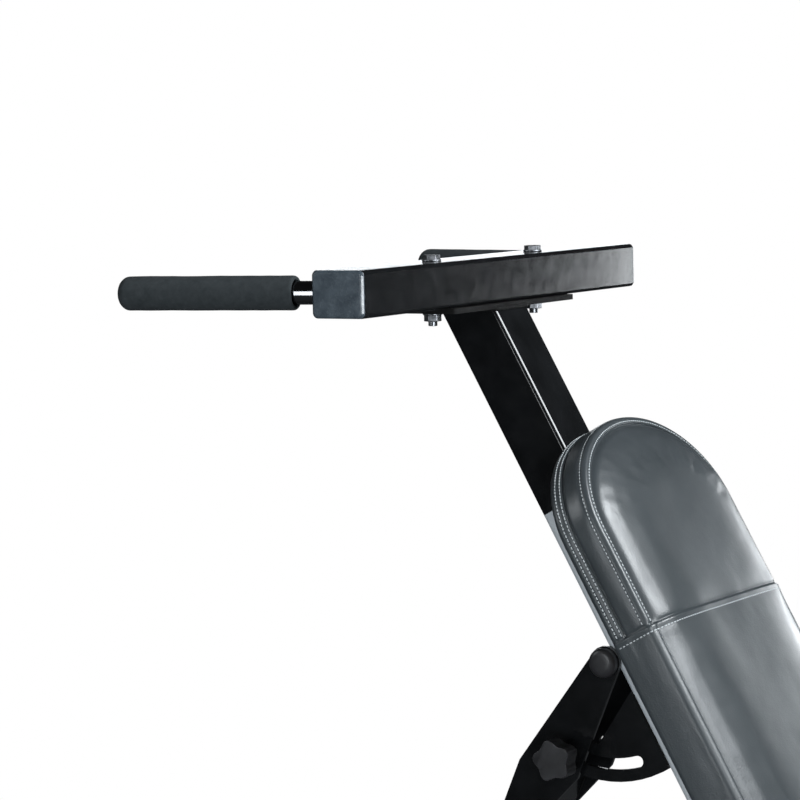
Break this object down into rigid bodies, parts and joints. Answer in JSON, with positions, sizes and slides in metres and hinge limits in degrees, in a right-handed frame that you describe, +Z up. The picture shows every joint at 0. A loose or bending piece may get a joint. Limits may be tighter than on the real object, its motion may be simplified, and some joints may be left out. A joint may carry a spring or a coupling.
{
  "type": "sit up bench",
  "caption": "Steep padded sit up bench with splayed rear handles on a cross beam, a folding rear leg and telescoping ankle rollers.",
  "frame": {"origin": "on the floor, under the middle of the whole bench's bounding box", "axes": "+X from the head end to the foot end, +Y across the bench to its right side, +Z up"},
  "size_m": [1.0965, 0.6884, 1.2799],
  "materials": {
    "black_paint": "satin black powder coat",
    "grey_paint": "light grey powder coat",
    "black_chrome": "bright black chrome",
    "zinc": "zinc plated",
    "black_plastic": "satin moulded",
    "foam": "matt closed-cell foam",
    "leather": "satin black upholstery leather, double stitched",
    "plywood": "raw plywood",
    "rubber": "matt",
    "knob_plastic": "semi-gloss moulded"
  },
  "bodies": {
    "frame": {"cross_beam": "black_paint", "beam_cap_left": "black_plastic", "beam_cap_right": "black_plastic", "handle_rod_left": "black_chrome", "handle_rod_right": "black_chrome", "handle_grip_left": "foam", "handle_grip_right": "foam", "flange_plate": "black_paint", "flange_bolt_left": "zinc", "flange_bolt_right": "zinc", "flange_nut_left": "zinc", "flange_nut_right": "zinc", "head_post": "black_paint", "head_spigot": "zinc", "main_rail": "grey_paint", "backrest_pad": "leather", "pad_board": "plywood", "pad_plate_upper": "grey_paint", "pad_plate_lower": "grey_paint", "pad_bolt_1": "zinc", "pad_bolt_2": "zinc", "pad_bolt_3": "zinc", "pad_bolt_4": "zinc", "pivot_sleeve": "black_paint", "leg_sector": "black_paint", "front_stabiliser": "black_paint", "front_foot_left": "rubber", "front_foot_right": "rubber", "roller_sleeve": "black_paint", "roller_lock_boss": "black_paint"},
    "rear_leg": {"rear_leg": "black_paint", "leg_ear_left": "black_paint", "leg_ear_right": "black_paint", "pivot_bolt": "zinc", "pivot_nut": "zinc", "leg_lock_boss": "black_paint", "rear_stabiliser": "black_paint", "rear_foot_left": "rubber", "rear_foot_right": "rubber", "wheel_bracket_left": "black_paint", "wheel_bracket_right": "black_paint", "wheel_bolt_left": "zinc", "wheel_bolt_right": "zinc"},
    "leg_lock": {"leg_lock_stud": "zinc", "leg_lock_knob": "knob_plastic"},
    "wheel_left": {"wheel_left": "rubber"},
    "wheel_right": {"wheel_right": "rubber"},
    "roller_post": {"roller_post": "zinc", "roller_bar": "black_chrome", "roller_cap_left": "black_plastic", "roller_cap_right": "black_plastic"},
    "roller_lock": {"roller_lock_stud": "zinc", "roller_lock_knob": "knob_plastic"},
    "roller_left": {"ankle_roller_left": "foam"},
    "roller_right": {"ankle_roller_right": "foam"}
  },
  "joints": [
    {"name": "leg_fold", "type": "hinge", "parent": "frame", "child": "rear_leg", "pos_m": [-0.08553, 0, 0.82778], "axis": [0, -1, 0], "range_deg": [0, 40]},
    {"name": "leg_lock_turn", "type": "hinge", "parent": "rear_leg", "child": "leg_lock", "pos_m": [-0.13047, -0.06, 0.72192], "axis": [0, -1, 0], "range_deg": [0, 360]},
    {"name": "wheel_left_spin", "type": "hinge", "parent": "rear_leg", "child": "wheel_left", "pos_m": [-0.51819, -0.22, 0.033], "axis": [0, 1, 0], "continuous": true},
    {"name": "wheel_right_spin", "type": "hinge", "parent": "rear_leg", "child": "wheel_right", "pos_m": [-0.51819, 0.22, 0.033], "axis": [0, 1, 0], "continuous": true},
    {"name": "roller_height", "type": "slide", "parent": "frame", "child": "roller_post", "axis": [0.8746, 0, 0.4848], "range_m": [0, 0.08]},
    {"name": "roller_lock_turn", "type": "hinge", "parent": "frame", "child": "roller_lock", "pos_m": [0.46123, 0, 0.1869], "axis": [0.4848, 0, -0.8746], "range_deg": [0, 360]},
    {"name": "roller_left_spin", "type": "hinge", "parent": "roller_post", "child": "roller_left", "pos_m": [0.50326, -0.12, 0.26577], "axis": [0, 1, 0], "continuous": true},
    {"name": "roller_right_spin", "type": "hinge", "parent": "roller_post", "child": "roller_right", "pos_m": [0.50326, 0.12, 0.26577], "axis": [0, 1, 0], "continuous": true}
  ]
}
